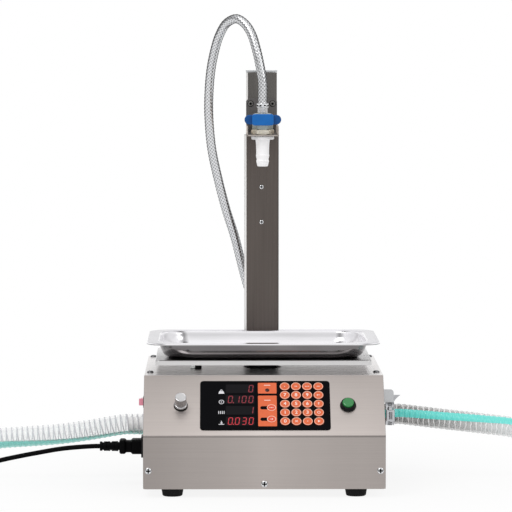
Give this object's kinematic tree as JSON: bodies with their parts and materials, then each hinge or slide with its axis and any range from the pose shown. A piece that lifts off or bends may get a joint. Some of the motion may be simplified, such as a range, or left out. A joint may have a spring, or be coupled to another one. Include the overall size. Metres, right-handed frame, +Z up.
{
  "type": "liquid filling machine",
  "caption": "Bench-top weighing and filling machine with a sloped keypad panel, scale pan, telescoping column, outlet valve, side hoses and a mains lead.",
  "frame": {"origin": "on the table, under the middle of the machine without its free hoses and lead", "axes": "+X to the machine's right as seen from the front, +Y to the back, +Z up"},
  "size_m": [1.3867, 0.476, 0.6964],
  "materials": {
    "housing_steel": "brushed stainless sheet",
    "column_steel": "polished dark tube",
    "pan_steel": "bright pressed stainless",
    "zinc_steel": "zinc plated",
    "bright_metal": "bright",
    "foot_rubber": "matte",
    "keypad_film": "printed film with orange keys and red digits",
    "board_green": "solder mask",
    "knob_metal": "turned",
    "black_plastic": "moulded",
    "button_green": "moulded",
    "rocker_red": "moulded",
    "lead_rubber": "satin sheath",
    "fitting_plastic": "moulded",
    "pump_metal": "cast",
    "motor_paint": "satin",
    "clear_hose": "clear with a rigid spiral",
    "brass": "turned",
    "inner_aluminium": "milled",
    "handle_blue": "moulded",
    "nozzle_white": "moulded",
    "braid_steel": "woven stainless braid"
  },
  "bodies": {
    "root": {"base_tray": "housing_steel", "front_panel": "housing_steel", "wrap_cover": "housing_steel", "deck_plate": "housing_steel", "bubble_level": "black_plastic", "front_left_foot": "foot_rubber", "front_right_foot": "foot_rubber", "rear_left_foot": "foot_rubber", "rear_right_foot": "foot_rubber", "front_screw_left": "zinc_steel", "front_screw_right": "zinc_steel", "front_screw_middle": "zinc_steel", "keypad_overlay": "keypad_film", "control_board": "board_green", "knob_gasket": "foot_rubber", "potentiometer": "zinc_steel", "start_button_bezel": "black_plastic", "rocker_frame": "black_plastic", "mains_inlet": "black_plastic", "power_connector": "lead_rubber", "left_hose_fitting": "fitting_plastic", "right_hose_fitting": "fitting_plastic", "port_bracket": "zinc_steel", "hose_clamp": "bright_metal", "pump_head": "pump_metal", "pump_motor": "motor_paint", "pump_saddle": "zinc_steel", "suction_tube": "clear_hose", "return_tube": "clear_hose", "outlet_tube": "clear_hose", "outlet_fitting": "brass", "power_supply": "inner_aluminium", "load_cell": "inner_aluminium", "load_cell_pedestal": "zinc_steel", "cell_spacer": "inner_aluminium", "support_plate": "housing_steel", "outer_column": "column_steel", "lock_screw_upper": "bright_metal", "lock_screw_lower": "bright_metal", "braided_hose": "braid_steel", "left_hose": "clear_hose", "right_hose": "clear_hose", "power_lead": "lead_rubber", "lead_coil": "lead_rubber", "mains_plug": "black_plastic"},
    "mast": {"mast": "column_steel", "mast_cap": "zinc_steel", "nozzle_bracket": "column_steel", "bracket_bolt_left": "zinc_steel", "bracket_bolt_right": "zinc_steel", "lock_nut": "brass", "valve_body": "pump_metal", "nozzle": "nozzle_white", "hose_ferrule": "bright_metal"},
    "valve": {"valve_ball": "bright_metal", "valve_handle": "handle_blue"},
    "knob": {"flow_knob": "knob_metal"},
    "button": {"start_button": "button_green"},
    "rocker": {"power_rocker": "rocker_red"},
    "pan": {"weighing_pan": "pan_steel"}
  },
  "joints": [
    {"name": "mast_slide", "type": "slide", "parent": "root", "child": "mast", "axis": [0, 0, 1], "range_m": [0, 0.12], "deforming": ["braided_hose"]},
    {"name": "valve_turn", "type": "hinge", "parent": "mast", "child": "valve", "pos_m": [-0.00654, 0.01795, 0.54068], "axis": [0, -1, 0], "range_deg": [0, 90]},
    {"name": "knob_turn", "type": "hinge", "parent": "root", "child": "knob", "pos_m": [-0.12754, -0.14605, 0.129], "axis": [0, -0.7071, 0.7071], "range_deg": [-150, 150]},
    {"name": "start_button_press", "type": "slide", "parent": "root", "child": "button", "axis": [0, 0.7071, -0.7071], "range_m": [0, 0.003], "stiffness_N_per_m": 400, "springref_m": -0.002},
    {"name": "rocker_tilt", "type": "hinge", "parent": "root", "child": "rocker", "pos_m": [-0.18154, -0.06605, 0.126], "axis": [0, 0, 1], "range_deg": [0, 24]},
    {"name": "pan_lift", "type": "slide", "parent": "root", "child": "pan", "axis": [0, 0, 1], "range_m": [0, 0.06]}
  ]
}
